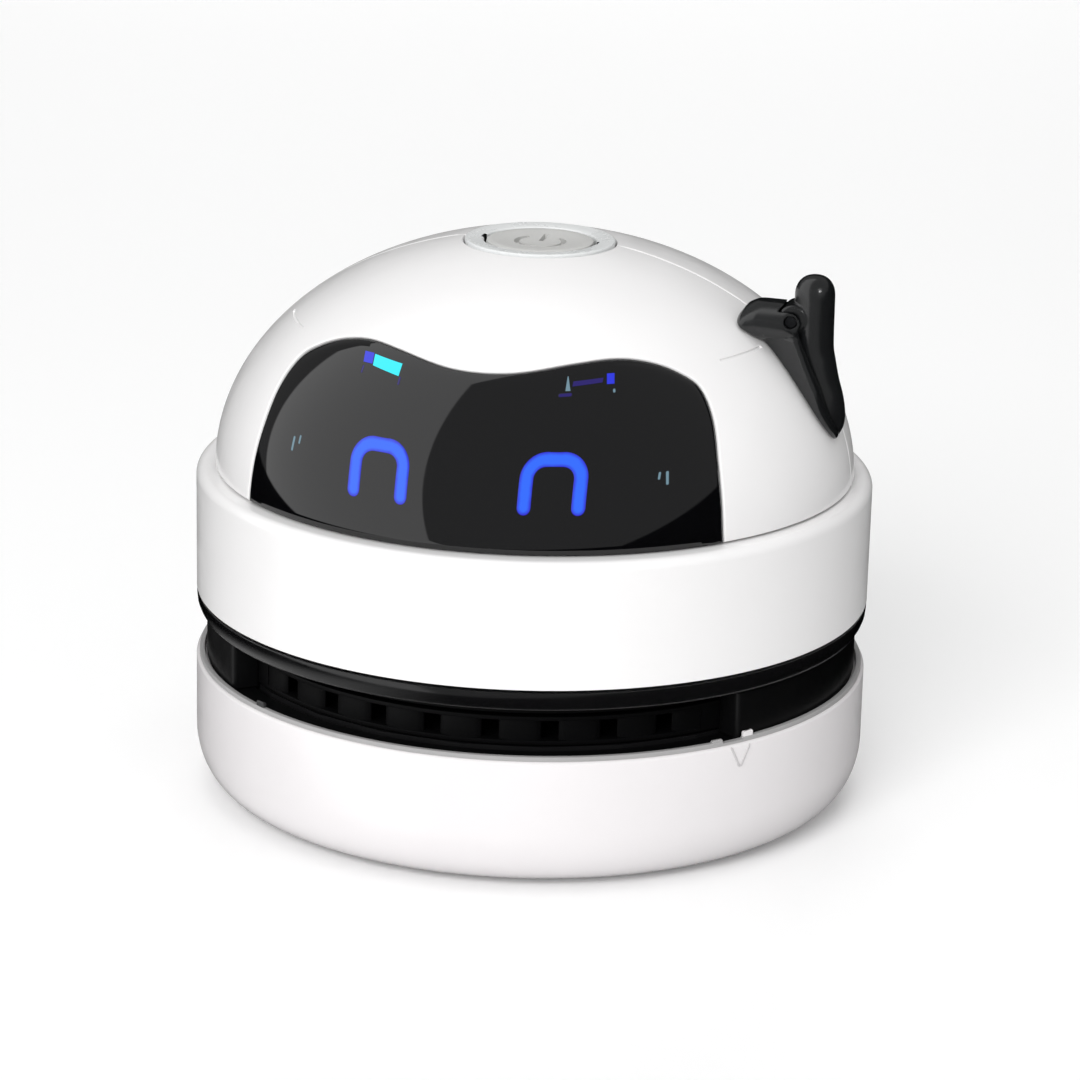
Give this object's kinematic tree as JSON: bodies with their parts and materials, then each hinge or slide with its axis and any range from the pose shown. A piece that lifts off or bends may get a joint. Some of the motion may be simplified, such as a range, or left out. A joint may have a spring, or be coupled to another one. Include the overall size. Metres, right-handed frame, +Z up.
{
  "type": "desktop mini vacuum cleaner",
  "caption": "Round palm-size desk vacuum with a domed body, a dark display visor, a top button, a spring antenna clip and a twist-off dust cup.",
  "frame": {"origin": "middle of the round footprint, on the desk that the foot pads stand on", "axes": "+Z up, -Y out of the visor, +X towards the antenna clip"},
  "size_m": [0.09, 0.09, 0.0748],
  "materials": {
    "white_abs": "moulded gloss white ABS",
    "pale_abs": "satin pale grey ABS trim",
    "button_abs": "fine matt grey ABS",
    "black_abs": "moulded black ABS",
    "smoked_polycarbonate": "polished dark smoked polycarbonate",
    "charcoal_abs": "satin charcoal ABS",
    "grey_abs": "moulded grey ABS",
    "blue_light_guide": "clear acrylic lit blue from behind",
    "cyan_light_guide": "clear acrylic lit cyan from behind",
    "circuit_board": "green solder mask",
    "plated_steel": "bright zinc plate",
    "cell_wrap": "blue shrink wrap",
    "soft_rubber": "dark soft rubber",
    "filter_fleece": "off-white needled fleece",
    "nylon_bristle": "dark nylon filament"
  },
  "bodies": {
    "main_unit": {"dome_front_shell": "white_abs", "dome_rear_shell": "white_abs", "upper_band": "white_abs", "button_surround": "pale_abs", "vent_ring": "black_abs", "chassis": "black_abs", "exhaust_grille": "black_abs", "fan_cover": "black_abs", "motor_holder": "black_abs", "display_bracket": "black_abs", "tact_switch": "black_abs", "visor_lens": "smoked_polycarbonate", "antenna_base": "charcoal_abs", "filter_frame": "grey_abs", "motor_end_cap": "grey_abs", "battery_cradle": "grey_abs", "eye_light_left": "blue_light_guide", "eye_light_right": "blue_light_guide", "brow_light_left": "cyan_light_guide", "brow_light_right": "cyan_light_guide", "display_board": "circuit_board", "switch_board": "circuit_board", "charge_board": "circuit_board", "motor_can": "plated_steel", "usb_socket": "plated_steel", "antenna_pin": "plated_steel", "antenna_spring": "plated_steel", "case_screw_1": "plated_steel", "case_screw_2": "plated_steel", "case_screw_3": "plated_steel", "case_screw_4": "plated_steel", "cover_screw_1": "plated_steel", "cover_screw_2": "plated_steel", "cover_screw_3": "plated_steel", "motor_screw_1": "plated_steel", "motor_screw_2": "plated_steel", "bracket_screw_1": "plated_steel", "bracket_screw_2": "plated_steel", "board_screw_1": "plated_steel", "board_screw_2": "plated_steel", "battery_cell": "cell_wrap", "seal_ring": "soft_rubber", "filter_pad": "filter_fleece"},
    "power_button": {"power_button": "button_abs"},
    "rotor": {"motor_shaft": "plated_steel", "impeller": "grey_abs"},
    "antenna_lever": {"antenna_lever": "charcoal_abs"},
    "dust_cup": {"dust_cup": "white_abs", "brush_front": "nylon_bristle", "brush_rear": "nylon_bristle", "foot_pad_1": "soft_rubber", "foot_pad_2": "soft_rubber", "foot_pad_3": "soft_rubber", "foot_pad_4": "soft_rubber"}
  },
  "joints": [
    {"name": "button_press", "type": "slide", "parent": "main_unit", "child": "power_button", "axis": [0, 0, -1], "range_m": [0, 0.0007], "stiffness_N_per_m": 1500, "springref_m": -0.0003},
    {"name": "fan_spin", "type": "hinge", "parent": "main_unit", "child": "rotor", "pos_m": [0, 0, 0.03], "axis": [0, 0, 1], "continuous": true},
    {"name": "antenna_hinge", "type": "hinge", "parent": "main_unit", "child": "antenna_lever", "pos_m": [0.0349, -0.0044, 0.06799], "axis": [0, -1, 0], "range_deg": [0, 20], "stiffness_Nm_per_rad": 0.004, "springref_deg": -8.59},
    {"name": "cup_twist", "type": "hinge", "parent": "main_unit", "child": "dust_cup", "pos_m": [0, 0, 0.012], "axis": [0, 0, 1], "range_deg": [0, 30]}
  ]
}
